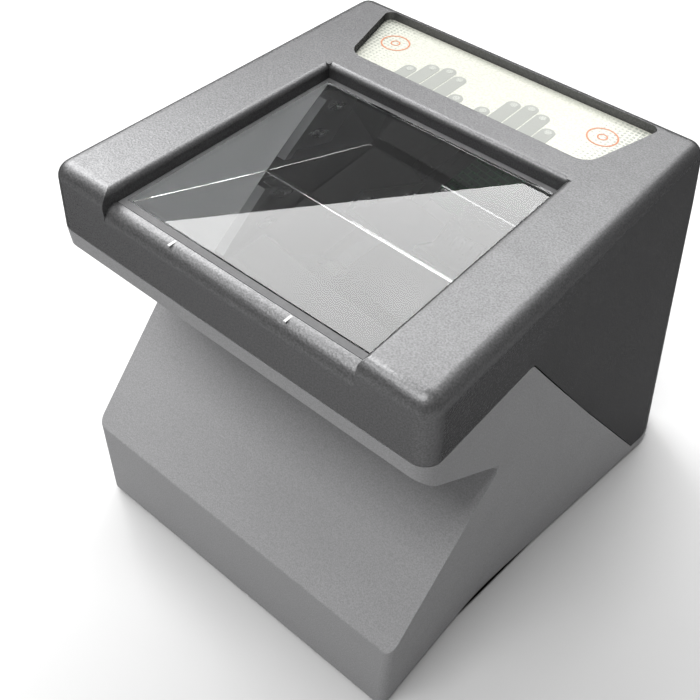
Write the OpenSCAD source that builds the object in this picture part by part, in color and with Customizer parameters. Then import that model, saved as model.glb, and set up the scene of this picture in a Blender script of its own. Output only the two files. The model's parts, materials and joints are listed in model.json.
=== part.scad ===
// Desktop four-finger scanner: a glass platen in a raised frame on a waisted base.
// Origin: the middle of the footprint, on the table. +Z is up, -Y is the front.

/* [Body] */
// Height from the table to the top of the raised frame
total_h = 153.4; // [152:0.2:156]
// Depth over the foot and the rear rim
body_d = 179; // [178:0.5:180]
// Width where the cover meets the base
body_w = 133.8; // [133:0.2:134.4]
// Width at the top of the cover
top_w = 130.8; // [130.2:0.2:132]
// Width of the foot at the front, at the bottom
foot_w = 134.8; // [134:0.2:136]
// Width that the flared sides would reach at the back, at the bottom
rear_w = 166.2; // [164:0.2:168]
// Distance from the middle to the back wall, at the top
top_rear_y = 52; // [51.6:0.1:53]
// Where the flat sides end and the flared sides begin
crease_y = -35; // [-37:1:-33]
// Radius of the cover's upright corners
corner_r = 5.5; // [5:0.5:7]
// Radius of the foot's upright corners at the front
foot_corner_r = 3; // [2:0.5:4]
// Radius of the rear corners at the bottom
rear_corner_r = 19; // [16:1:24]
// Thickness of the moulded walls
wall = 2.5; // [2.2:0.1:2.7]

/* [Split line] */
// Height of the level part of the split
split_z = 131.4; // [131:0.2:132]
// Where the level split turns down
apex_y = -40.6; // [-42:0.2:-39]
// Where the sloping split reaches the rear rim
split_end_y = 61.2; // [60:0.2:63]
// Height of the rear rim of the base
rim_z = 6; // [5.8:0.1:6.4]
// Radius of the split's apex
apex_r = 4; // [3:0.5:5]
// Gap between the cover and the base
split_gap = 0.4; // [0.3:0.1:0.6]

/* [Front recess] */
// How far the cover's front face stands behind the foot's
front_setback = 3; // [2.6:0.1:3.4]
// Height of the lower edge of the lip
lip_z = 125.3; // [125:0.1:125.6]
// How far the lip slants inwards
lip_inset = 0.6; // [0.4:0.1:1]
// Depth of the waist behind the foot's front face
waist_depth = 45.8; // [45:0.2:47]
// Height of the waist
waist_z = 91.1; // [90:0.2:92]
// Height of the ridge between the panel and the foot
ridge_z = 39.4; // [38.8:0.2:40]
// Radius of the ridge
ridge_r = 1.6; // [1:0.2:2]

/* [Platen] */
// Width of the glass
glass_w = 84.2; // [84:0.1:84.4]
// Depth of the glass
glass_d = 83; // [82.8:0.1:83.2]
// Front edge of the glass
glass_front_y = -79; // [-79.1:0.1:-78.9]
// How far the frame stands above the glass
frame_rise = 4.6; // [4.4:0.1:4.8]
// Radius of the cover's outer top edge
edge_r = 4.6; // [4.2:0.1:5]
// Angle of the prism's rear face from the platen
view_angle = 53.7; // [53.4:0.1:54]

/* [Indicator] */
// Half the width of the overlay at its front edge
label_front_half = 44.2; // [44:0.1:44.5]
// Half the width of the overlay at its rear edge
label_back_half = 51.7; // [51.4:0.1:52]
// Front edge of the overlay
label_front_y = 16.7; // [16.5:0.1:17]
// Rear edge of the overlay
label_back_y = 47.6; // [47.2:0.1:47.8]
// Depth of the overlay's face below the frame
label_depth = 2.7; // [2.5:0.1:2.9]
// Fingertips of one hand: distance from the middle line, and Y
fingertips = [[5, 22.6], [10.3, 31.8], [15.6, 33.8], [20.9, 31.8], [26.1, 26.2]];

/* [Focus] */
// Turn of the focus ring from rest, each way, in degrees
focus_turn = 135; // [90:5:150]
// Travel of the lens for one whole turn
focus_pitch = 4; // [3:0.5:4]

/* [Hidden] */
$fn = 48;

far = 400;
foot_h = 2;
front_y = -body_d / 2;
cover_front_y = front_y + front_setback;
lip_front_y = cover_front_y + lip_inset;
// The lip's slanted face carries on a little below its edge, where the recess cuts it off
under_lip_z = lip_z - 1;
under_lip_y = lip_front_y + lip_inset / (split_z - lip_z);
glass_z = total_h - frame_rise;
glass_back_y = glass_front_y + glass_d;
window_half = glass_w / 2 + 1.5;
window_front_y = glass_front_y - 2.6;
window_back_y = glass_back_y + 2;
cavity_top_z = glass_z - wall;
arc_steps = 10;
edge_steps = 6;
crease_blend = 12;
waist = [front_y + waist_depth, waist_z];
label_z = total_h - label_depth;
label_floor_z = label_z - 0.7;

inner_r = 2;

// Sheet, board and fastener sizes
plate_z = 2.4;
plate_t = 3;
plate_top_z = plate_z + plate_t;
board_t = 1.6;
board_z = 12;
pilot_r = 1.25;
shank_r = 1.2;
clear_r = 1.7;
head_r = 2.8;
head_h = 1.7;
small_head_r = 2.2;
fit_gap = 0.05;
loose_gap = 0.3;

base_screw_at = [[57, -79.5], [65, 14]];
rear_boss_at = [56, 72];
chassis_screw_at = [[52.5, -62], [52.5, 44]];
plate_screw_at = concat(base_screw_at, [rear_boss_at], chassis_screw_at);
front_boss_at = [55, -72];
foot_at = [[44, -70], [52, 58]];

// The prism's two working faces meet at a right angle
prism_edge_z = glass_z - 2;
front_angle = 90 - view_angle;
front_leg = glass_d * cos(front_angle);
ridge_y = glass_front_y + front_leg * cos(front_angle);
ridge_drop = front_leg * sin(front_angle);
prism_ridge_z = prism_edge_z - ridge_drop;
ridge_flat = 0.5;

// Optical axis: from the platen's middle to the mirror, then down to the sensor
mirror_y = 54;
axis_y = cos(front_angle);
axis_z = sin(front_angle);
platen_mid_y = glass_front_y + glass_d / 2;
mirror_z = glass_z - (mirror_y - platen_mid_y) * axis_z / axis_y;
mirror_h = 44;
mirror_half = 32;
sensor_path = 84;
sensor_at = [0, mirror_y - sensor_path * axis_y, mirror_z - sensor_path * axis_z];

chassis_front_y = cover_front_y + wall + 0.8;
chassis_in = 44.6;
chassis_t = 3;
chassis_out = chassis_in + chassis_t;

retainer_reach = 4;
retainer_w = 15;
rear_retainer_l = 34;
front_retainer_l = 46;
retainer_screw_z = 8;
lamp_half_x = 37;
lamp_half_y = 25;
bracket_arm_z = [58, 82];
bracket_back_y = mirror_y + 4.6;
cable_t = 0.4;

barrel_r = 9;
tube_r = 11;
ring_r = 14;
ring_z = [9, 20];
lock_screw_z = 13.5;
lens_travel = focus_pitch * focus_turn / 360;
flange_z = ring_z[1] + 1 + lens_travel;

tick_x = 20.2;
tick_y = [-84.6, -81.8];
cover_screw_z = 121;
board_post_x = 39;
board_post_y = [12, 73];
port_half = 26;
port_top_z = 26;
port_face_y = 80.4;
usb_x = -12;
jack_x = 12;
jack_z = board_z + board_t + 5.6;
guide_z = cavity_top_z - 1;

function lerp(a, b, t) = a + (b - a) * t;
// 0 at the top of the body, 1 at the bottom
function drop(z) = (total_h - z) / (total_h - foot_h);
function half_front(z) = z > split_z
    ? lerp(body_w / 2, top_w / 2, (z - split_z) / (total_h - split_z))
    : lerp(foot_w / 2, body_w / 2, (z - foot_h) / (split_z - foot_h));
function half_rear(z) = lerp(top_w / 2, rear_w / 2, drop(z));
function rear_y(z) = lerp(top_rear_y, body_d / 2, drop(z));
function rear_r(z) = lerp(corner_r - 0.5, rear_corner_r, drop(z));
function front_r(z) = z > lip_z ? corner_r : z < ridge_z ? foot_corner_r
    : lerp(foot_corner_r, corner_r, (z - ridge_z) / (lip_z - ridge_z));
function arc(centre, r, from, to, steps) =
    [for (i = [0:steps]) centre + r * [cos(lerp(from, to, i / steps)), sin(lerp(from, to, i / steps))]];
function bend(a, b, c, steps) =
    [for (i = [0:steps]) let (t = i / steps) lerp(lerp(a, b, t), lerp(b, c, t), t)];

// Right half of the body's outline at height z, moved inwards by inset
function half_outline(z, inset, front) =
    let (wf = half_front(z) - inset,
         wr = half_rear(z) - inset,
         yf = front + inset,
         yr = rear_y(z) - inset,
         rf = max(front_r(z) - inset, 0.8),
         rr = max(rear_r(z) - inset, 0.8),
         lean = atan((wr - wf) / (yr - crease_y)),
         reach = rr * tan((90 + lean) / 2))
    concat(
        arc([wf - rf, yf + rf], rf, -90, 0, arc_steps),
        bend([wf, crease_y - crease_blend], [wf, crease_y],
            [wf, crease_y] + crease_blend * [sin(lean), cos(lean)], 4),
        arc([wr - reach, yr - rr], rr, -lean, 90, arc_steps));
function ring(z, inset, front) =
    let (half = half_outline(z, inset, front), n = len(half))
    concat([for (p = half) [p.x, p.y, z]], [for (i = [n - 1:-1:0]) [-half[i].x, half[i].y, z]]);

module loft(rings) {
    n = len(rings[0]);
    last = (len(rings) - 1) * n;
    polyhedron(
        points = [for (r = rings) each r],
        faces = concat(
            [[for (i = [0:n - 1]) i]],
            [for (k = [0:n:last - n], i = [0:n - 1])
                let (j = (i + 1) % n) each [[k + n + j, k + j, k + i], [k + n + i, k + n + j, k + i]]],
            [[for (i = [n - 1:-1:0]) last + i]]));
}

// Sweeps a side profile, drawn as [Y, Z], across the body
module across(width) {
    rotate([90, 0, 90]) linear_extrude(width, center = true) children();
}
module both_sides() {
    children();
    mirror([1, 0, 0]) children();
}
module slab(x, y, z) {
    translate([x[0], y[0], z[0]]) cube([x[1] - x[0], y[1] - y[0], z[1] - z[0]]);
}
module round_convex(r) {
    offset(r) offset(delta = -r) children();
}

// Side profiles
module below_split() {
    round_convex(apex_r) polygon([[-far, -far], [-far, split_z], [apex_y, split_z],
        [split_end_y, rim_z], [far, rim_z], [far, -far]]);
}
module front_recess() {
    lip_slope = [lip_front_y, lip_z] - waist;
    panel_slope = [front_y, ridge_z] - waist;
    round_convex(3) polygon([waist, waist + 4 * lip_slope, waist + 4 * panel_slope]);
}
module body_side() {
    difference() {
        translate([front_y, -far]) square(2 * far);
        front_recess();
    }
}

module cover_skin() {
    rounding = [for (i = [1:edge_steps]) let (a = 90 * i / edge_steps)
        ring(total_h - edge_r + edge_r * sin(a), edge_r * (1 - cos(a)), cover_front_y)];
    loft(concat([ring(foot_h, 0, cover_front_y), ring(split_z, 0, cover_front_y),
        ring(total_h - edge_r, 0, cover_front_y)], rounding));
}
module base_skin(inset = 0, beyond = 0) {
    loft(concat([for (z = [foot_h - 1 - beyond, ridge_z, waist_z]) ring(z, inset, front_y - beyond)],
        [ring(under_lip_z, inset, under_lip_y - beyond)],
        [for (z = [split_z, split_z + 1 + beyond]) ring(z, inset, cover_front_y - beyond)]));
}
module label_shape() {
    hull() both_sides_2d() {
        translate([label_front_half - 5, label_front_y + 6]) circle(6);
        translate([label_back_half - 2.9, label_back_y - 2.5]) circle(2.5);
    }
}
module both_sides_2d() {
    children();
    mirror([1, 0]) children();
}

// A cross-head screw along Z: the head's underside at z = 0, the shank going up
module screw(length, r, head) {
    cylinder(length, r = r);
    difference() {
        translate([0, 0, -head_h]) cylinder(head_h, r = head);
        for (turn = [0, 90]) rotate(turn)
            translate([0, 0, -head_h]) cube([head * 1.2, 0.5, 1.6], center = true);
    }
}

// The window, and the front bar lowered to the glass and rounded into the front face
module window_cuts() {
    bar_r = edge_r;
    slab([-window_half, window_half], [window_front_y, window_back_y], [cavity_top_z - 20, total_h + 1]);
    difference() {
        slab([-window_half, window_half], [cover_front_y - 5, window_front_y + 1],
            [glass_z - bar_r, total_h + 1]);
        across(far) translate([cover_front_y + bar_r, glass_z - bar_r]) circle(bar_r);
        slab([-far, far], [cover_front_y + bar_r, far], [0, glass_z]);
    }
    both_sides() difference() {
        slab([window_half - 1, window_half + inner_r], [cover_front_y - 5, window_back_y],
            [total_h - inner_r, total_h + 1]);
        translate([window_half + inner_r, 0, total_h - inner_r]) rotate([90, 0, 0])
            cylinder(far, r = inner_r, center = true);
    }
    difference() {
        slab([-window_half, window_half], [window_back_y - 1, window_back_y + inner_r],
            [total_h - inner_r, total_h + 1]);
        translate([0, window_back_y + inner_r, total_h - inner_r]) rotate([0, 90, 0])
            cylinder(far, r = inner_r, center = true);
    }
}

module top_cover() color("#5d5e60") {
    difference() {
        union() {
            difference() {
                cover_skin();
                loft([for (z = [foot_h - 1, split_z, cavity_top_z]) ring(z, wall, cover_front_y)]);
                both_sides() slab([47, 61], [-79, 16], [cavity_top_z - 1, total_h - wall]);
            }
            both_sides() translate([front_boss_at.x, front_boss_at.y, split_z - 5])
                cylinder(total_h - wall - split_z + 5.5, r = 4);
            intersection() {
                both_sides() translate([rear_boss_at.x, rear_boss_at.y, rim_z + 1]) cylinder(70, r = 4.4);
                loft([for (z = [foot_h, split_z]) ring(z, 1, cover_front_y)]);
            }
        }
        across(far) offset(delta = split_gap) below_split();
        window_cuts();
        translate([0, 0, label_floor_z]) linear_extrude(10) offset(delta = 0.15) label_shape();
        for (side = [-1, 1], tip = fingertips)
            translate([side * tip.x, tip.y, 0]) cylinder(total_h, r = 1.6);
        both_sides() slab([tick_x - 0.45, tick_x + 0.45], tick_y, [glass_z - 0.3, glass_z + 1]);
        slab([-port_half, port_half], [60, 100], [0, port_top_z]);
        both_sides() translate([front_boss_at.x, front_boss_at.y, 0]) cylinder(145, r = pilot_r);
        both_sides() translate([rear_boss_at.x, rear_boss_at.y, 0]) cylinder(30, r = pilot_r);
    }
}

module base_housing() color("#a8a9ab") difference() {
    union() {
        difference() {
            intersection() {
                base_skin();
                across(far) round_convex(ridge_r) intersection() {
                    below_split();
                    body_side();
                }
            }
            intersection() {
                base_skin(wall, 1);
                across(far) offset(delta = -wall) body_side();
            }
        }
        intersection() {
            union() {
                both_sides() for (at = base_screw_at) translate([at.x, at.y, plate_top_z + 0.1]) {
                    cylinder(24, r = 4.2);
                    slab([0, 12], [-1.2, 1.2], [0, 24]);
                }
                both_sides() translate([front_boss_at.x, front_boss_at.y, lip_z - 16])
                    cylinder(split_z - lip_z + 15.9, r = 5);
            }
            base_skin();
            across(far) offset(delta = -0.5) body_side();
        }
    }
    slab([-far, far], [-far, far], [-far, foot_h]);
    both_sides() for (at = base_screw_at) translate([at.x, at.y, 0]) cylinder(20, r = pilot_r);
    both_sides() translate([front_boss_at.x, front_boss_at.y, 100]) {
        cylinder(40, r = clear_r);
        cylinder(cover_screw_z - 100, r = head_r + 0.3);
    }
}

module bottom_plate() color("#8e8f92") difference() {
    union() {
        loft([for (z = [plate_z, plate_top_z]) ring(z, wall + loose_gap, front_y)]);
        both_sides() for (y = board_post_y)
            translate([board_post_x, y, plate_z]) cylinder(board_z - plate_z, r = 3);
    }
    both_sides() for (at = plate_screw_at) translate([at.x, at.y, 0]) {
        cylinder(20, r = clear_r);
        cylinder(plate_z + head_h + 0.1, r = head_r + 0.3);
    }
    both_sides() for (y = board_post_y) translate([board_post_x, y, plate_z + 2]) cylinder(20, r = pilot_r);
}

module rubber_feet() color("#1c1c1d") both_sides() for (at = foot_at)
    translate([at.x, at.y, 0]) rotate_extrude()
        polygon([[0, 0], [6.2, 0], [7, 0.8], [7, plate_z], [0, plate_z]]);

// Screws from below: base to plate, rear of the cover, and chassis
module base_screws() color("#9a9a9c")
    both_sides() for (at = plate_screw_at)
        translate([at.x, at.y, plate_z + head_h + 0.1]) screw(9, shank_r, head_r);
module cover_screws() color("#9a9a9c")
    both_sides() translate([front_boss_at.x, front_boss_at.y, cover_screw_z]) screw(18, shank_r, head_r);

// The tray behind the notch in the cover, which frames the two inlets
module port_plate() color("#8e8f92") difference() {
    intersection() {
        slab([-port_half + 0.3, port_half - 0.3], [76, 100], [rim_z + 0.3, port_top_z - 0.3]);
        loft([for (z = [foot_h, split_z]) ring(z, loose_gap, cover_front_y)]);
    }
    slab([-port_half + 2, port_half - 2], [port_face_y, 100], [rim_z + 2, port_top_z - 1.5]);
    slab([-port_half, port_half], [70, port_face_y - 1.8], [0, 60]);
    translate([usb_x, 0, board_z + board_t + 2.2]) cube([8.4, far, 4.6], center = true);
    translate([jack_x, 0, jack_z]) rotate([90, 0, 0]) cylinder(far, r = 4.3, center = true);
}

module usb_socket() color("#b9bbbe") translate([usb_x, 0, board_z + board_t]) difference() {
    slab([-3.9, 3.9], [71.4, port_face_y - 0.2], [0.05, 4.2]);
    slab([-3.5, 3.5], [73, port_face_y + 1], [0.45, 3.8]);
}
module power_jack() color("#222326") translate([jack_x, 0, 0]) {
    difference() {
        union() {
            slab([-4.5, 4.5], [66, port_face_y - 2.1], [board_z + board_t + 0.05, jack_z + 5]);
            translate([0, port_face_y - 0.3, jack_z]) rotate([90, 0, 0]) cylinder(6, r = 4.1);
        }
        translate([0, port_face_y + 1, jack_z]) rotate([90, 0, 0]) cylinder(10.5, r = 2.9);
    }
    translate([0, port_face_y - 1, jack_z]) rotate([90, 0, 0]) cylinder(10, r = 1);
}

module platen_prism() color("#b7c4c4", 0.5) across(glass_w) polygon([
    [glass_front_y, glass_z], [glass_front_y, prism_edge_z],
    [ridge_y - ridge_flat * tan(view_angle), prism_ridge_z + ridge_flat],
    [ridge_y + ridge_flat * tan(front_angle), prism_ridge_z + ridge_flat],
    [glass_back_y, prism_edge_z], [glass_back_y, glass_z]]);

module platen_gasket() color("#6f7072") difference() {
    slab([-window_half + 0.1, window_half - 0.1], [window_front_y + 0.3, window_back_y - 0.1],
        [glass_z - 1.9, glass_z - 0.2]);
    slab([-glass_w / 2 - 0.05, glass_w / 2 + 0.05], [glass_front_y - 0.05, glass_back_y + 0.05], [0, far]);
}
module tick_marks() color("#d8d9da") both_sides()
    slab([tick_x - 0.4, tick_x + 0.4], [tick_y[0] + 0.05, tick_y[1] - 0.05], [glass_z - 0.28, glass_z]);

module indicator_overlay() color("#f3f7ea")
    translate([0, 0, label_floor_z]) linear_extrude(label_z - label_floor_z) label_shape();
module light_guides() color("#e8efe9") for (side = [-1, 1], tip = fingertips)
    translate([side * tip.x, tip.y, guide_z]) cylinder(label_floor_z - 0.1 - guide_z, r = 1.5);
module indicator_board() color("#2f6b45") difference() {
    slab([-42, 42], [19, 45], [guide_z - 1.2 - board_t, guide_z - 1.2]);
    both_sides() translate([37, 38, 0]) cylinder(far, r = 1.3);
}
module indicator_leds() color("#f6f2d8") for (side = [-1, 1], tip = fingertips)
    translate([side * tip.x, tip.y, guide_z - 0.65]) cube([1.6, 0.8, 1], center = true);

// Frames on the prism's faces: +Z points out of the glass
module on_front_face() {
    translate([0, (glass_front_y + ridge_y) / 2, (prism_edge_z + prism_ridge_z) / 2])
        rotate([90 + view_angle, 0, 0]) children();
}
module on_rear_face() {
    translate([0, (glass_back_y + ridge_y) / 2, (prism_edge_z + prism_ridge_z) / 2])
        rotate([view_angle - 180, 0, 0]) children();
}

module chassis_side() {
    intersection() {
        offset(delta = -wall - 2.5) body_side();
        polygon([[chassis_front_y, plate_top_z + 0.1], [71, plate_top_z + 0.1], [72, 30],
            [46, cavity_top_z - 0.4], [chassis_front_y, cavity_top_z - 0.4]]);
    }
}
module chassis_windows() {
    round_convex(4) {
        translate([24, 96]) square([18, 30]);
        translate([8, 22]) square([36, 26]);
        translate([-70, 14]) square([26, 22]);
    }
}
module optics_chassis() color("#3a3b3d") difference() {
    union() {
        both_sides() translate([chassis_in + chassis_t / 2, 0, 0]) across(chassis_t) difference() {
            chassis_side();
            chassis_windows();
        }
        for (y = [chassis_front_y + 0.2, window_back_y + 4])
            slab([-chassis_in - 1, chassis_in + 1], [y, y + 1.4], [136, cavity_top_z - 1]);
        both_sides() for (at = chassis_screw_at)
            slab([chassis_out, at.x + 4.5], [at.y - 5, at.y + 5], [plate_top_z + 0.1, plate_top_z + 12]);
    }
    both_sides() for (at = chassis_screw_at) translate([at.x, at.y, 0]) cylinder(15, r = pilot_r);
    both_sides() retainer_holes(pilot_r - 0.2);
    both_sides() bracket_holes(pilot_r - 0.2);
}

// Retainers: angle strips on the side plates that the prism's faces rest on
module retainer(length) {
    slab([chassis_in - 1.8, chassis_in - 0.05], [-length / 2, length / 2], [0.1, retainer_w]);
    slab([chassis_in - 1.8 - retainer_reach, chassis_in - 1.8], [-length / 2, length / 2], [0.1, 1.5]);
}
module prism_retainers() color("#77787b") difference() {
    both_sides() {
        on_rear_face() retainer(rear_retainer_l);
        on_front_face() retainer(front_retainer_l);
    }
    both_sides() retainer_holes(pilot_r);
}
// Turns what is drawn along +Z to point at +X, at the place of each retainer screw
module at_retainer_screws(x) {
    on_rear_face() for (y = [-8, 8]) translate([x, y, retainer_screw_z]) rotate([0, 90, 0]) children();
    on_front_face() for (y = [-16, 16]) translate([x, y, retainer_screw_z]) rotate([0, 90, 0]) children();
}
module retainer_holes(r) {
    at_retainer_screws(30) cylinder(30, r = r);
}
module retainer_screws() color("#c9cacc") both_sides()
    at_retainer_screws(chassis_in - 1.85) screw(4.6, pilot_r - 0.3, small_head_r);
module prism_pads() color("#2b2b2c") both_sides() for (y = [-62, -12])
    slab([glass_w / 2 + 0.05, chassis_in - 0.05], [y - 5, y + 5], [prism_edge_z - 9, prism_edge_z - 2]);

// Lamp under the prism's front face
module at_light_screws(z) {
    for (x = [-1, 1] * (lamp_half_x - 1.5), y = [-1, 1] * (lamp_half_y - 1.5))
        translate([x, y, z]) children();
}
module diffuser_sheet() color("#f2f4f5") on_front_face()
    slab([-lamp_half_x, lamp_half_x], [-lamp_half_y, lamp_half_y], [1.6, 3.1]);
module light_frame() color("#e6e7e8") on_front_face() difference() {
    slab([-lamp_half_x, lamp_half_x], [-lamp_half_y, lamp_half_y], [3.2, 12]);
    slab([-lamp_half_x + 3, lamp_half_x - 3], [-lamp_half_y + 3, lamp_half_y - 3], [3, 13]);
    at_light_screws(7) cylinder(9, r = 0.65);
}
module light_board() color("#2f6b45") on_front_face() difference() {
    slab([-lamp_half_x, lamp_half_x], [-lamp_half_y, lamp_half_y], [12.1, 12.1 + board_t]);
    at_light_screws(7) cylinder(9, r = 0.75);
}
module light_leds() color("#f6f2d8") on_front_face()
    for (x = [-28:8:28], y = [-18:9:18]) translate([x, y, 11.6]) cube([2.2, 2.2, 0.9], center = true);
module light_screws() color("#c9cacc") on_front_face()
    at_light_screws(12.15 + board_t) rotate([180, 0, 0]) screw(5, 0.6, 1.4);

// Fold mirror, upright behind the prism
module fold_mirror() color("#cfd6da")
    slab([-mirror_half, mirror_half], [mirror_y, mirror_y + 3],
        [mirror_z - mirror_h / 2, mirror_z + mirror_h / 2 - 2]);
module mirror_bracket() color("#8b8c8f") difference() {
    union() {
        slab([-34, 34], [mirror_y + 3.1, bracket_back_y],
            [mirror_z - mirror_h / 2 - 2, mirror_z + mirror_h / 2 - 1]);
        both_sides() {
            slab([33, chassis_in - 0.1], [mirror_y + 3.1, bracket_back_y], bracket_arm_z);
            slab([chassis_in - 1.6, chassis_in - 0.1], [mirror_y - 5, bracket_back_y], bracket_arm_z);
        }
    }
    both_sides() bracket_holes(pilot_r);
}
// A bent strip over the mirror's edge, drawn for the upper edge at z = 0
module mirror_clip() {
    slab([-3, 3], [mirror_y - 0.6, mirror_y + 3], [0, 0.5]);
    slab([-3, 3], [mirror_y - 0.6, mirror_y - 0.05], [-2, 0.5]);
}
module mirror_clips() color("#c9cacc") for (x = [-20, 20]) {
    translate([x, 0, mirror_z + mirror_h / 2 - 1.95]) mirror_clip();
    translate([x, 0, mirror_z - mirror_h / 2 - 0.05]) mirror([0, 0, 1]) mirror_clip();
}
// Turns what is drawn along +Z to point at +X, at the place of each bracket screw
module at_bracket_screws(x) {
    for (z = [64, 76]) translate([x, mirror_y - 1, z]) rotate([0, 90, 0]) children();
    on_lens_axis() for (y = [-11, 11]) translate([x, y, 9]) rotate([0, 90, 0]) children();
}
module bracket_holes(r) {
    at_bracket_screws(30) cylinder(30, r = r);
}
module bracket_screws() color("#c9cacc") both_sides()
    at_bracket_screws(chassis_in - 1.65) screw(4.4, pilot_r - 0.3, small_head_r);

// Camera: +Z of this frame runs from the sensor to the mirror
module on_lens_axis() {
    translate(sensor_at) rotate([-view_angle, 0, 0]) children();
}
module lens_bracket() color("#8b8c8f") difference() {
    on_lens_axis() {
        slab([-chassis_in + 0.1, chassis_in - 0.1], [-17, 17], [3, 5]);
        both_sides() slab([chassis_in - 1.6, chassis_in - 0.1], [-17, 17], [3, 14]);
        for (x = [-13, 13], y = [-13, 13]) translate([x, y, -1.35]) cylinder(4.4, r = 2.2);
    }
    on_lens_axis() {
        cylinder(far, r = barrel_r + 0.4, center = true);
        for (x = [-13, 13], y = [-13, 13]) translate([x, y, -5]) cylinder(9.4, r = 0.9);
    }
    both_sides() bracket_holes(pilot_r);
}
module lens_holder() color("#26272a") on_lens_axis() difference() {
    union() {
        slab([-13.5, 13.5], [-13.5, 13.5], [5.05, 7.6]);
        cylinder(17, r = tube_r);
    }
    translate([0, 0, -1]) cylinder(20, r = barrel_r + fit_gap);
    translate([0, 0, -1]) cylinder(6.05, r = tube_r + 1);
}
module lens_barrel() color("#1b1c1e") on_lens_axis() difference() {
    union() {
        translate([0, 0, 4.5]) cylinder(25.5, r = barrel_r);
        translate([0, 0, flange_z]) cylinder(30 - flange_z, r = 11.5);
    }
    cylinder(40, r = 6.6);
    translate([0, 0, 25]) cylinder(10, r = 8.05);
}
module front_lens() color("#9fb3c8", 0.6) on_lens_axis() intersection() {
    translate([0, 0, 25.3]) cylinder(4.4, r = 8);
    translate([0, 0, 29.2 - 24]) sphere(24, $fn = 96);
}
module rear_lens() color("#9fb3c8", 0.6) on_lens_axis() intersection() {
    translate([0, 0, 5.4]) cylinder(3, r = 6.55);
    translate([0, 0, 5.6 + 20]) sphere(20, $fn = 96);
}
module focus_ring() color("#3b3c40") on_lens_axis() difference() {
    translate([0, 0, ring_z[0]]) cylinder(ring_z[1] - ring_z[0], r = ring_r);
    translate([0, 0, ring_z[0] - 1]) cylinder(9.5, r = tube_r + fit_gap);
    translate([0, 0, ring_z[0] - 1]) cylinder(20, r = barrel_r + loose_gap);
    for (i = [0:23]) rotate(15 * i + 7.5) translate([ring_r + 0.5, 0, 15.5]) cylinder(6, r = 0.9);
    translate([0, 0, lock_screw_z]) rotate([0, 90, 0]) cylinder(20, r = 1.05);
}
module focus_lock_screw() color("#c9cacc") on_lens_axis()
    translate([0, 0, lock_screw_z]) rotate([0, 90, 0]) {
        translate([0, 0, tube_r + 0.35]) cylinder(4, r = 1);
        translate([0, 0, ring_r + 0.4]) cylinder(2.2, r = 2);
    }
module sensor_board() color("#2f6b45") on_lens_axis() difference() {
    slab([-16, 16], [-16, 16], [-3, -1.4]);
    for (x = [-13, 13], y = [-13, 13]) translate([x, y, -5]) cylinder(9, r = 1.1);
}
module image_sensor() color("#30363d") on_lens_axis() slab([-7, 7], [-7, 7], [-1.35, 0.2]);
module sensor_screws() color("#c9cacc") on_lens_axis() for (x = [-13, 13], y = [-13, 13])
    translate([x, y, -3.05]) screw(6, 0.85, 1.9);

// Main board, over the bottom plate at the back
module main_board() color("#2f6b45") difference() {
    slab([-42.5, 42.5], [7, 78], [board_z + 0.05, board_z + board_t]);
    both_sides() for (y = board_post_y) translate([board_post_x, y, 0]) cylinder(far, r = 1.4);
}
module main_board_chips() color("#232427") translate([0, 0, board_z + board_t + 0.05]) {
    slab([-16, 4], [30, 50], [0, 1.6]);
    slab([10, 22], [30, 40], [0, 1.1]);
    slab([10, 22], [44, 54], [0, 1.1]);
    slab([-34, -26], [40, 46], [0, 1.4]);
    slab([-8, -1], [60, 67], [0, 1.2]);
}
module capacitors() color("#3d4a66") for (at = [[30, 58], [30, 46], [30, 34]])
    translate([at.x, at.y, board_z + board_t + 0.05]) cylinder(9, r = 4);
module cable_connectors() color("#dcdcd6") {
    slab([-35.5, -28.5], [58, 63], [board_z + board_t + 0.05, board_z + board_t + 4]);
    slab([18, 26], [8, 12], [board_z - 3, board_z]);
    slab([-6, 6], [8, 12], [board_z - 3, board_z]);
    slab([-35.5, -28.5], [37, 42], [guide_z - 1.25 - board_t - 3, guide_z - 1.25 - board_t]);
}
module board_screws() color("#c9cacc") both_sides() for (y = board_post_y)
    translate([board_post_x, y, board_z + board_t + 0.05]) rotate([180, 0, 0])
        screw(6, shank_r, small_head_r);

// Flat cables: a strip of thickness t that follows the middle line
function unit(v) = v / norm(v);
function side_of(path, i) =
    let (d = unit(path[min(i + 1, len(path) - 1)] - path[max(i - 1, 0)])) [-d.y, d.x];
module strip(path, t) {
    n = len(path);
    polygon(concat([for (i = [0:n - 1]) path[i] + side_of(path, i) * t / 2],
        [for (i = [n - 1:-1:0]) path[i] - side_of(path, i) * t / 2]));
}
module flat_cable(path, x, width) color("#d9dadb") translate([x, 0, 0]) across(width) strip(path, cable_t);
indicator_route = [[39.5, 138], [39.7, 134], [42, 129], [46, 122], [50.5, 113], [55, 108.5], [59.6, 108],
    [62, 100], [63.5, 88], [66, 74], [69, 58], [71, 44], [70, 30], [66, 21], [60.5, 18.2]];
light_route = [[-37.5, 98], [-37, 92], [-38.5, 84], [-43, 72], [-46, 52], [-46, 34], [-40, 18], [-30, 9.5],
    [-18, 7.6], [-4, 7.6], [6, 8], [10, 8.6]];
sensor_route = [[-17.5, 25.5], [-20, 23.5], [-21, 20], [-19.5, 15], [-15, 10.8], [-8, 9.2], [2, 8.8],
    [10, 8.6]];
module indicator_cable() flat_cable(indicator_route, -32, 6);
module light_cable() flat_cable(light_route, 22, 7);
module sensor_cable() flat_cable(sensor_route, 0, 10);

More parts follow.
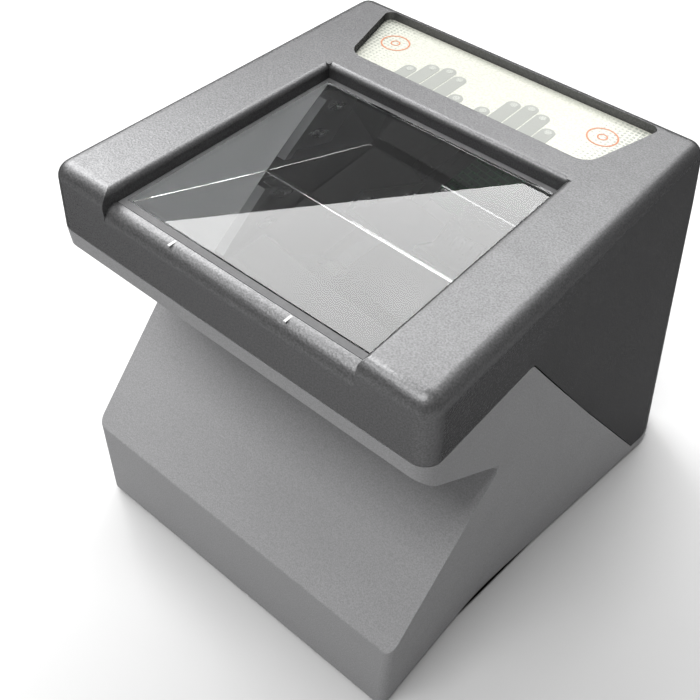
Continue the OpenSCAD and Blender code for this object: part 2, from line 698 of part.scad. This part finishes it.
top_cover();
base_housing();
bottom_plate();
port_plate();
platen_prism();
platen_gasket();
tick_marks();
indicator_overlay();
indicator_board();
indicator_leds();
light_guides();
optics_chassis();
prism_retainers();
retainer_screws();
prism_pads();
diffuser_sheet();
light_frame();
light_board();
light_leds();
light_screws();
fold_mirror();
mirror_bracket();
mirror_clips();
bracket_screws();
lens_bracket();
lens_holder();
lens_barrel();
front_lens();
rear_lens();
focus_ring();
focus_lock_screw();
sensor_board();
image_sensor();
sensor_screws();
main_board();
main_board_chips();
capacitors();
cable_connectors();
usb_socket();
power_jack();
board_screws();
indicator_cable();
light_cable();
sensor_cable();
base_screws();
cover_screws();
rubber_feet();
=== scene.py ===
"""The looks of a desktop four-finger scanner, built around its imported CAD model."""
import json
import math

import bmesh
import bpy
from mathutils import Matrix, Vector

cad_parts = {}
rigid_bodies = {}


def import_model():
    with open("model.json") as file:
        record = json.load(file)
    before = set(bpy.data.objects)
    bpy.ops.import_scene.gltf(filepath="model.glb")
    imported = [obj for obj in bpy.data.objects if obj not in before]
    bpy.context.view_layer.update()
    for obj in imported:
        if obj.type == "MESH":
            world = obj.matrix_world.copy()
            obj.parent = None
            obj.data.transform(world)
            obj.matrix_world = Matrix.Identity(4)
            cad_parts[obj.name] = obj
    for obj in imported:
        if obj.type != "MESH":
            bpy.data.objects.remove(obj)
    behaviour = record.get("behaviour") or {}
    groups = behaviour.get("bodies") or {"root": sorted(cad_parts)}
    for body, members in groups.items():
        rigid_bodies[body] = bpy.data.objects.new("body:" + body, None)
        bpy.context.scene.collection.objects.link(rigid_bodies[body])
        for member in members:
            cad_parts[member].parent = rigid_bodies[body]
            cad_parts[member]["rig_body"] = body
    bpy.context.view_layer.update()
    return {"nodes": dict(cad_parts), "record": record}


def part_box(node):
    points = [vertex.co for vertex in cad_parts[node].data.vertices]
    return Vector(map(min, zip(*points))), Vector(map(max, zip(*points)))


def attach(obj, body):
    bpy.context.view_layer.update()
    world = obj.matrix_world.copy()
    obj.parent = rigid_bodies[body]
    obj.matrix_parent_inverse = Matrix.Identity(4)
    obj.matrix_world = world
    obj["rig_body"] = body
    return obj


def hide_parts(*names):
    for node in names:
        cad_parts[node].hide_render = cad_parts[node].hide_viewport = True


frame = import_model()
nodes = frame["nodes"]
MM = 0.001
HOUSING = "housing"


# ---------------------------------------------------------------- materials

class Maker:
    """A node material with a few short calls for what every finish here needs."""

    def __init__(self, name):
        self.material = bpy.data.materials.new(name)
        self.material.use_nodes = True
        self.tree = self.material.node_tree
        self.shader = self.tree.nodes["Principled BSDF"]
        coords = self.add("ShaderNodeTexCoord")
        self.position = coords.outputs["Object"]

    def add(self, kind, **settings):
        node = self.tree.nodes.new(kind)
        for key, value in settings.items():
            setattr(node, key, value)
        return node

    def link(self, source, target):
        self.tree.links.new(source, target)

    def put(self, target, value):
        if isinstance(value, bpy.types.NodeSocket):
            self.link(value, target)
        else:
            target.default_value = value

    def put_colour(self, target, value):
        self.put(target, value if isinstance(value, bpy.types.NodeSocket) else (*value, 1))

    def math(self, operation, first, second=0.0):
        node = self.add("ShaderNodeMath", operation=operation)
        for target, value in zip(node.inputs, (first, second)):
            self.put(target, value)
        return node.outputs[0]

    def noise(self, size, detail=3.0, roughness=0.5, distortion=0.0, stretch=None):
        """A noise value from 0 to 1 with features of about this size, in metres."""
        node = self.add("ShaderNodeTexNoise")
        node.inputs["Scale"].default_value = 1 / size
        node.inputs["Detail"].default_value = detail
        node.inputs["Roughness"].default_value = roughness
        node.inputs["Distortion"].default_value = distortion
        self.link(self.stretched(stretch), node.inputs["Vector"])
        return node.outputs["Fac"]

    def cells(self, size):
        """The distance to the nearest point of a random set, for grains and pits."""
        node = self.add("ShaderNodeTexVoronoi")
        node.inputs["Scale"].default_value = 1 / size
        self.link(self.position, node.inputs["Vector"])
        return node.outputs["Distance"]

    def stretched(self, stretch):
        if stretch is None:
            return self.position
        node = self.add("ShaderNodeMapping")
        node.inputs["Scale"].default_value = stretch
        self.link(self.position, node.inputs["Vector"])
        return node.outputs["Vector"]

    def between(self, value, low, high, start=0.3, end=0.7):
        """Maps value from start..end to low..high, clamped."""
        node = self.add("ShaderNodeMapRange")
        self.put(node.inputs["Value"], value)
        ends = {"From Min": start, "From Max": end, "To Min": low, "To Max": high}
        for key, number in ends.items():
            node.inputs[key].default_value = number
        return node.outputs["Result"]

    def mix(self, factor, first, second):
        node = self.add("ShaderNodeMix", data_type="RGBA")
        colours = [s for s in node.inputs if s.type == "RGBA"]
        self.put(node.inputs["Factor"], factor)
        for target, value in zip(colours, (first, second)):
            self.put_colour(target, value)
        return next(s for s in node.outputs if s.type == "RGBA")

    def bump(self, height, distance):
        node = self.add("ShaderNodeBump")
        node.inputs["Distance"].default_value = distance
        node.inputs["Strength"].default_value = 1.0
        self.link(height, node.inputs["Height"])
        return node.outputs["Normal"]

    def finish(self, colour=None, roughness=None, normal=None, **values):
        """Sets the shader: a socket is linked, a plain number or colour is set on the shader itself."""
        if colour is not None:
            self.put_colour(self.shader.inputs["Base Color"], colour)
        if roughness is not None:
            self.put(self.shader.inputs["Roughness"], roughness)
        if normal is not None:
            self.link(normal, self.shader.inputs["Normal"])
        for key, value in values.items():
            self.shader.inputs[key.replace("_", " ")].default_value = value
        return self.material


def moulded(name, colour, grain, depth, rough=(0.42, 0.6), speckle=0.12, specular=0.5):
    """Spark-textured plastic or paint: fine rounded grains, faint mottling and smudges."""
    m = Maker(name)
    fine = m.noise(grain, detail=2.0, roughness=0.6)
    pits = m.cells(grain * 1.6)
    broad = m.noise(0.03, detail=4.0, roughness=0.6)
    smudge = m.noise(0.008, detail=5.0, roughness=0.65, distortion=0.6)
    dark = tuple(c * (1 - speckle) for c in colour)
    light = tuple(min(c * (1 + speckle), 1) for c in colour)
    tone = m.mix(m.between(fine, 0, 1, 0.35, 0.65), dark, light)
    tone = m.mix(m.between(broad, 0, 0.22), tone, tuple(c * 0.86 for c in colour))
    height = m.math("ADD", fine, m.math("MULTIPLY", pits, 0.7))
    gloss = m.between(m.math("ADD", m.math("MULTIPLY", smudge, 0.6), m.math("MULTIPLY", fine, 0.4)), *rough)
    return m.finish(tone, gloss, m.bump(height, depth), Specular_IOR_Level=specular)


def satin_paint(name, colour, grain, depth, rough, speckle, edge_tint):
    """Textured paint with a metallic sheen. A dark edge_tint makes it fade at a grazing view."""
    material = moulded(name, colour, grain, depth, rough, speckle)
    shader = material.node_tree.nodes["Principled BSDF"]
    shader.inputs["Metallic"].default_value = 0.88
    shader.inputs["Specular Tint"].default_value = (edge_tint, edge_tint, edge_tint, 1)
    return material


def metal(name, colour, rough=(0.22, 0.4), brush=None, depth=0.00001):
    """Bare or anodised metal, with brush marks along one axis or a fine grain."""
    m = Maker(name)
    marks = m.noise(0.0006, detail=3.0, stretch=brush)
    stains = m.noise(0.006, detail=4.0, roughness=0.6)
    tone = m.mix(m.between(stains, 0, 0.5), colour, tuple(c * 0.7 for c in colour))
    return m.finish(tone, m.between(marks, *rough), m.bump(marks, depth), Metallic=1.0)


def rubber(name, colour, size=0.0006):
    m = Maker(name)
    fine = m.noise(size, detail=4.0, roughness=0.7)
    dust = m.noise(0.004, detail=5.0, roughness=0.7)
    tone = m.mix(m.between(dust, 0, 0.5, 0.45, 0.75), colour, tuple(min(c * 1.6 + 0.02, 1) for c in colour))
    return m.finish(tone, m.between(dust, 0.6, 0.85), m.bump(fine, 0.00004), Specular_IOR_Level=0.3)


def glass(name, tint):
    """Polished glass with faint wipe marks."""
    m = Maker(name)
    wiped = m.noise(0.012, detail=5.0, roughness=0.7, distortion=1.5)
    haze = m.between(wiped, 0.0, 0.035, 0.5, 0.85)
    m.shader.inputs["Transmission Weight"].default_value = 1.0
    m.shader.inputs["IOR"].default_value = 1.52
    return m.finish(tint, haze)


def board(name):
    """Green solder mask with faint copper tracks and pads under it."""
    m = Maker(name)
    tracks = m.add("ShaderNodeTexBrick", offset=0.5)
    tracks.inputs["Scale"].default_value = 90
    tracks.inputs["Mortar Size"].default_value = 0.02
    m.link(m.position, tracks.inputs["Vector"])
    fine = m.noise(0.0015, detail=2.0)
    tone = m.mix(tracks.outputs["Fac"], (0.015, 0.09, 0.04), (0.03, 0.16, 0.06))
    tone = m.mix(m.between(fine, 0, 0.3), tone, (0.01, 0.06, 0.03))
    return m.finish(tone, m.between(fine, 0.25, 0.4), m.bump(tracks.outputs["Fac"], 0.00003))


def printed(name, colour, rough=0.4):
    """A screen print: flat ink with a slight grain and worn spots."""
    m = Maker(name)
    grain = m.noise(0.0004, detail=2.0)
    tone = m.mix(m.between(grain, 0, 0.25), colour, tuple(c * 0.92 for c in colour))
    return m.finish(tone, m.between(grain, rough - 0.05, rough + 0.1), m.bump(grain, 0.000004))


def halftone_film(name):
    """Off-white film. Small grey squares, largest at both ends, fade out towards the middle."""
    m = Maker(name)
    split = m.add("ShaderNodeSeparateXYZ")
    m.link(m.position, split.inputs[0])
    x, y = split.outputs["X"], split.outputs["Y"]
    pitch = 1.55 * MM
    across = m.math("PINGPONG", m.math("DIVIDE", x, pitch), 0.5)
    along = m.math("PINGPONG", m.math("DIVIDE", y, pitch), 0.5)
    edge = m.math("MAXIMUM", across, along)
    side = m.math("DIVIDE", m.math("ABSOLUTE", x), 1 * MM)
    size = m.between(side, 0.05, 0.36, 28.0, 49.0)
    dot = m.math("LESS_THAN", edge, size)
    strength = m.between(side, 0.25, 0.85, 28.0, 46.0)
    grain = m.noise(0.0008, detail=3.0)
    paper = m.mix(m.between(grain, 0, 1), (0.40, 0.405, 0.355), (0.41, 0.415, 0.365))
    tone = m.mix(m.math("MULTIPLY", dot, strength), paper, (0.20, 0.215, 0.19))
    return m.finish(tone, m.between(grain, 0.22, 0.34), m.bump(grain, 0.000002), Coat_Weight=0.1)


MATERIALS = {
    "cover_paint": satin_paint("cover_paint", (0.14, 0.14, 0.142), 0.0005, 0.00004, (0.4, 0.5), 0.22, 0.0),
    "base_plastic": moulded("base_plastic", (0.255, 0.255, 0.259), 0.00045, 0.00004, (0.6, 0.75), 0.14, 0.15),
    "plate_plastic": moulded("plate_plastic", (0.20, 0.20, 0.205), 0.0005, 0.00004, (0.5, 0.65), 0.1),
    "optical_glass": glass("optical_glass", (0.97, 0.985, 0.98)),
    "lens_glass": glass("lens_glass", (0.86, 0.93, 0.99)),
    "gasket_rubber": rubber("gasket_rubber", (0.10, 0.10, 0.102)),
    "foot_rubber": rubber("foot_rubber", (0.012, 0.012, 0.012)),
    "print_white": printed("print_white", (0.42, 0.42, 0.42)),
    "overlay_film": halftone_film("overlay_film"),
    "board_green": board("board_green"),
    "led_clear": printed("led_clear", (0.85, 0.78, 0.45), 0.25),
    "guide_clear": printed("guide_clear", (0.80, 0.86, 0.82), 0.3),
    "chassis_black": moulded("chassis_black", (0.055, 0.056, 0.06), 0.0006, 0.00003, (0.3, 0.5), 0.2),
    "sheet_steel": metal("sheet_steel", (0.42, 0.42, 0.43), (0.3, 0.5), (1, 12, 1)),
    "screw_steel": metal("screw_steel", (0.75, 0.75, 0.76), (0.18, 0.32)),
    "foam_black": rubber("foam_black", (0.02, 0.02, 0.02)),
    # The opal diffuser is coloured dark grey, far below its own white: painted shade for the dim inside of
    # the housing
    "opal_white": printed("opal_white", (0.075, 0.077, 0.08), 0.3),
    "frame_white": printed("frame_white", (0.14, 0.14, 0.145)),
    "mirror_glass": metal("mirror_glass", (0.90, 0.92, 0.93), (0.02, 0.05), None, 0.0),
    "lens_black": metal("lens_black", (0.03, 0.03, 0.033), (0.25, 0.4)),
    "ring_black": metal("ring_black", (0.06, 0.06, 0.065), (0.25, 0.4)),
    "chip_black": moulded("chip_black", (0.018, 0.018, 0.02), 0.0004, 0.00001, (0.4, 0.5), 0.1),
    "sensor_dark": printed("sensor_dark", (0.02, 0.025, 0.04), 0.15),
    "capacitor_blue": printed("capacitor_blue", (0.04, 0.07, 0.18), 0.3),
    "connector_white": printed("connector_white", (0.72, 0.71, 0.64)),
    "socket_steel": metal("socket_steel", (0.60, 0.61, 0.62), (0.2, 0.35)),
    "jack_black": moulded("jack_black", (0.015, 0.015, 0.016), 0.0005, 0.00002, (0.35, 0.5), 0.1),
    "cable_grey": printed("cable_grey", (0.45, 0.46, 0.47)),
}
# Pale ground glass, made brighter still as painted light to stand in for light that hardly reaches the
# prism's end
GROUND_GLASS_PAINTED_LIGHT = printed("ground_glass_painted_light", (0.90, 0.91, 0.92), 0.5)
PRINT_GREY = printed("print_grey", (0.205, 0.213, 0.195))
PRINT_WINDOW = printed("print_window", (0.30, 0.31, 0.285), 0.25)
PRINT_ORANGE = printed("print_orange", (0.36, 0.125, 0.05))

slot_of = {part["node"]: part["material_slot"] for part in frame["record"]["subparts"]}
for name, node in nodes.items():
    node.data.materials.clear()
    node.data.materials.append(MATERIALS[slot_of[name]])


# ---------------------------------------------------------------- pieces

def new_piece(name, mesh, material, body=HOUSING):
    piece = bpy.data.objects.new(name, mesh)
    bpy.context.scene.collection.objects.link(piece)
    mesh.materials.clear()
    mesh.materials.append(material)
    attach(piece, body)
    return piece


WELD = 0.004 * MM
SMOOTH_ANGLE = 32
BEVEL_ANGLE = 34
# Widest bevel on a node's sharp edges. Clamping against overlap leaves almost none of it where the
# mesh has short edges, which is on every node here but the prism.
EDGE_WIDTHS = {
    "top_cover": 0.35 * MM,
    "platen_prism": 0.25 * MM,
    "bottom_plate": 0.2 * MM,
    "base_housing": 0.4 * MM,
}


def refined(node_name, width=0.0):
    """A welded copy of a CAD node, with smooth curves. Its sharp edges get a bevel of at most width."""
    source = nodes[node_name]
    mesh = source.data.copy()
    mesh.name = node_name + "_skin"
    bm = bmesh.new()
    bm.from_mesh(mesh)
    bmesh.ops.remove_doubles(bm, verts=bm.verts, dist=WELD)
    bmesh.ops.dissolve_degenerate(bm, edges=bm.edges, dist=WELD)
    bmesh.ops.dissolve_limit(bm, angle_limit=math.radians(0.4), verts=bm.verts, edges=bm.edges)
    if width:
        sharp = [e for e in bm.edges
                 if len(e.link_faces) == 2 and e.calc_face_angle(0) > math.radians(BEVEL_ANGLE)]
        bmesh.ops.bevel(bm, geom=sharp, offset=width, offset_type="OFFSET", segments=2, profile=0.5,
                        affect="EDGES", clamp_overlap=True, miter_outer="ARC")
    bmesh.ops.triangulate(bm, faces=[f for f in bm.faces if len(f.verts) > 4])
    bm.to_mesh(mesh)
    bm.free()
    mesh.shade_smooth()
    mesh.set_sharp_from_angle(angle=math.radians(SMOOTH_ANGLE))
    slot = slot_of[node_name]
    piece = new_piece(node_name + "_skin", mesh, MATERIALS[slot], source["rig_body"])
    weighted = piece.modifiers.new("weighted_normals", "WEIGHTED_NORMAL")
    weighted.keep_sharp = True
    weighted.weight = 100
    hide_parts(node_name)
    return piece


skins = {name: refined(name, EDGE_WIDTHS.get(name, 0.0)) for name in nodes}

# The prism has flat polished faces, and its left end is ground glass. That end's pale colour is partly
# painted light: it is raised to stand in for light that hardly reaches it
prism = skins["platen_prism"].data
prism.materials.append(GROUND_GLASS_PAINTED_LIGHT)
for face in prism.polygons:
    face.use_smooth = False
    face.material_index = int(face.normal.x < -0.9)


INK = 0.04 * MM


def flat_print(name, outlines, z, material):
    """Thin printed shapes on a surface at height z. An outline is a closed loop of points in metres."""
    bm = bmesh.new()
    for outline in outlines:
        low = [bm.verts.new((x, y, z)) for x, y in outline]
        face = bm.faces.new(low)
        made = bmesh.ops.extrude_face_region(bm, geom=[face])
        for v in made["geom"]:
            if isinstance(v, bmesh.types.BMVert):
                v.co.z += INK
    bmesh.ops.recalc_face_normals(bm, faces=bm.faces)
    mesh = bpy.data.meshes.new(name)
    bm.to_mesh(mesh)
    bm.free()
    return new_piece(name, mesh, material)


def bar(x, low_y, tip_y, half, steps=16):
    """A finger: a bar with a round tip."""
    turn = [math.pi * i / steps for i in range(steps + 1)]
    round_tip = [(x + half * math.cos(a), tip_y - half + half * math.sin(a)) for a in turn]
    return [(x + half, low_y), *round_tip, (x - half, low_y)]


def oval(x, y, rx, ry, steps=28):
    angles = [2 * math.pi * i / steps for i in range(steps)]
    return [(x + rx * math.cos(a), y + ry * math.sin(a)) for a in angles]


def ring_print(name, centres, z, radius, width, material, steps=56):
    """Thin printed rings."""
    bm = bmesh.new()
    inner = radius - width
    for cx, cy in centres:
        loops = []
        for r, h in ((radius, 0), (radius, INK), (inner, INK), (inner, 0)):
            loops.append([bm.verts.new((x, y, z + h)) for x, y in oval(cx, cy, r, r, steps)])
        for k in range(4):
            a, b = loops[k], loops[(k + 1) % 4]
            for i in range(steps):
                j = (i + 1) % steps
                bm.faces.new((a[i], a[j], b[j], b[i]))
    bmesh.ops.recalc_face_normals(bm, faces=bm.faces)
    mesh = bpy.data.meshes.new(name)
    bm.to_mesh(mesh)
    bm.free()
    return new_piece(name, mesh, material)


label_low, label_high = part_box("indicator_overlay")
label_z = label_high.z + 0.01 * MM
finger_low = label_low.y + 0.5 * MM
WINDOW_INSET, WINDOW_RX, WINDOW_RY = 2.1, 1.15, 1.25
# Each finger of one hand: distance from the middle line, tip and half width, in millimetres
FINGERS = [(5.0, 24.1, 2.35), (10.3, 33.4, 2.45), (15.6, 35.4, 2.45), (20.9, 33.3, 2.45), (26.1, 27.9, 2.35)]
sides = (-1, 1)
fingers = [(s * x * MM, tip, half * MM) for s in sides for x, tip, half in FINGERS]
flat_print("printed_hands", [bar(x, finger_low, tip * MM, half) for x, tip, half in fingers],
           label_z, PRINT_GREY)
windows = [oval(x, (tip - WINDOW_INSET) * MM, WINDOW_RX * MM, WINDOW_RY * MM) for x, tip, half in fingers]
flat_print("printed_fingertip_windows", windows, label_z + INK, PRINT_WINDOW)
marks = [(s * 39.4 * MM, 35.3 * MM) for s in sides]
ring_print("printed_rings", marks, label_z, 5.0 * MM, 0.55 * MM, PRINT_ORANGE)
ring_print("printed_inner_rings", marks, label_z, 1.7 * MM, 0.5 * MM, PRINT_ORANGE, 32)


# ---------------------------------------------------------------- floor, light, camera

def stage_plane(name, size, location, material):
    mesh = bpy.data.meshes.new(name)
    half = size / 2
    corners = [(-half, -half, 0), (half, -half, 0), (half, half, 0), (-half, half, 0)]
    mesh.from_pydata(corners, [], [(0, 1, 2, 3)])
    mesh.materials.append(material)
    plane = bpy.data.objects.new(name, mesh)
    plane.location = location
    bpy.context.scene.collection.objects.link(plane)
    return plane


def soft_light(name, location, target, size, radiance):
    """A rectangular soft box of this radiance that faces the target."""
    data = bpy.data.lights.new(name, "AREA")
    data.shape = "RECTANGLE"
    data.size, data.size_y = size
    data.energy = radiance * math.pi * size[0] * size[1]
    light = bpy.data.objects.new(name, data)
    light.location = location
    aim = Vector(target) - Vector(location)
    light.rotation_euler = aim.to_track_quat("-Z", "Y").to_euler()
    bpy.context.scene.collection.objects.link(light)
    return light


floor = Maker("studio_floor")
floor_grain = floor.noise(0.02, detail=2.0)
floor.finish(floor.mix(floor_grain, (0.52, 0.52, 0.52), (0.53, 0.53, 0.53)), 0.9, Specular_IOR_Level=0.0)
stage_plane("studio_floor", 8.0, (0, 0, 0), floor.material)

# The sky card hangs level over the back left. Its far edge shows as the edge of the pale reflection
# in the glass.
CARD_Z = 0.9
card_edge = [Vector((-0.763, 0.488, CARD_Z)), Vector((-0.402, 0.963, CARD_Z))]
along = (card_edge[1] - card_edge[0]).normalized()
inward = Vector((along.y, -along.x, 0))
CARD_LENGTH, CARD_DEPTH, CARD_SHIFT = 1.5, 0.5, 0.25
CARD_RADIANCE = 8.5
centre = (card_edge[0] + card_edge[1]) / 2 + inward * CARD_DEPTH / 2 + along * CARD_SHIFT
below = centre - Vector((0, 0, 1))
card = soft_light("sky_card", centre, below, (CARD_LENGTH, CARD_DEPTH), CARD_RADIANCE)
card.rotation_euler = Matrix((along, -inward, (0, 0, 1))).transposed().to_euler()
BODY_MIDDLE = (0, 0, 0.08)
soft_light("front_box", (-0.1, -0.72, 1.5), BODY_MIDDLE, (0.7, 0.6), 14.5)
soft_light("left_box", (-1.35, 0.25, 1.1), BODY_MIDDLE, (0.9, 0.9), 13.0)

world = bpy.data.worlds.new("studio")
world.use_nodes = True
world.node_tree.nodes["Background"].inputs["Color"].default_value = (1, 1, 1, 1)
world.node_tree.nodes["Background"].inputs["Strength"].default_value = 0.34
scene = bpy.context.scene
scene.world = world
scene.view_settings.view_transform = "Standard"

camera_data = bpy.data.cameras.new("camera")
camera_data.sensor_width = 36
camera_data.lens = 47.1
camera = bpy.data.objects.new("camera", camera_data)
right, up = Vector((0.7677, 0.6394, 0.0467)), Vector((-0.4931, 0.5455, 0.6785))
right.normalize()
up = (up - right * up.dot(right)).normalized()
turn = Matrix((right, up, right.cross(up))).transposed()
camera.matrix_world = Matrix.Translation((0.12494, -0.19718, 0.3054)) @ turn.to_4x4()
scene.collection.objects.link(camera)
scene.camera = camera
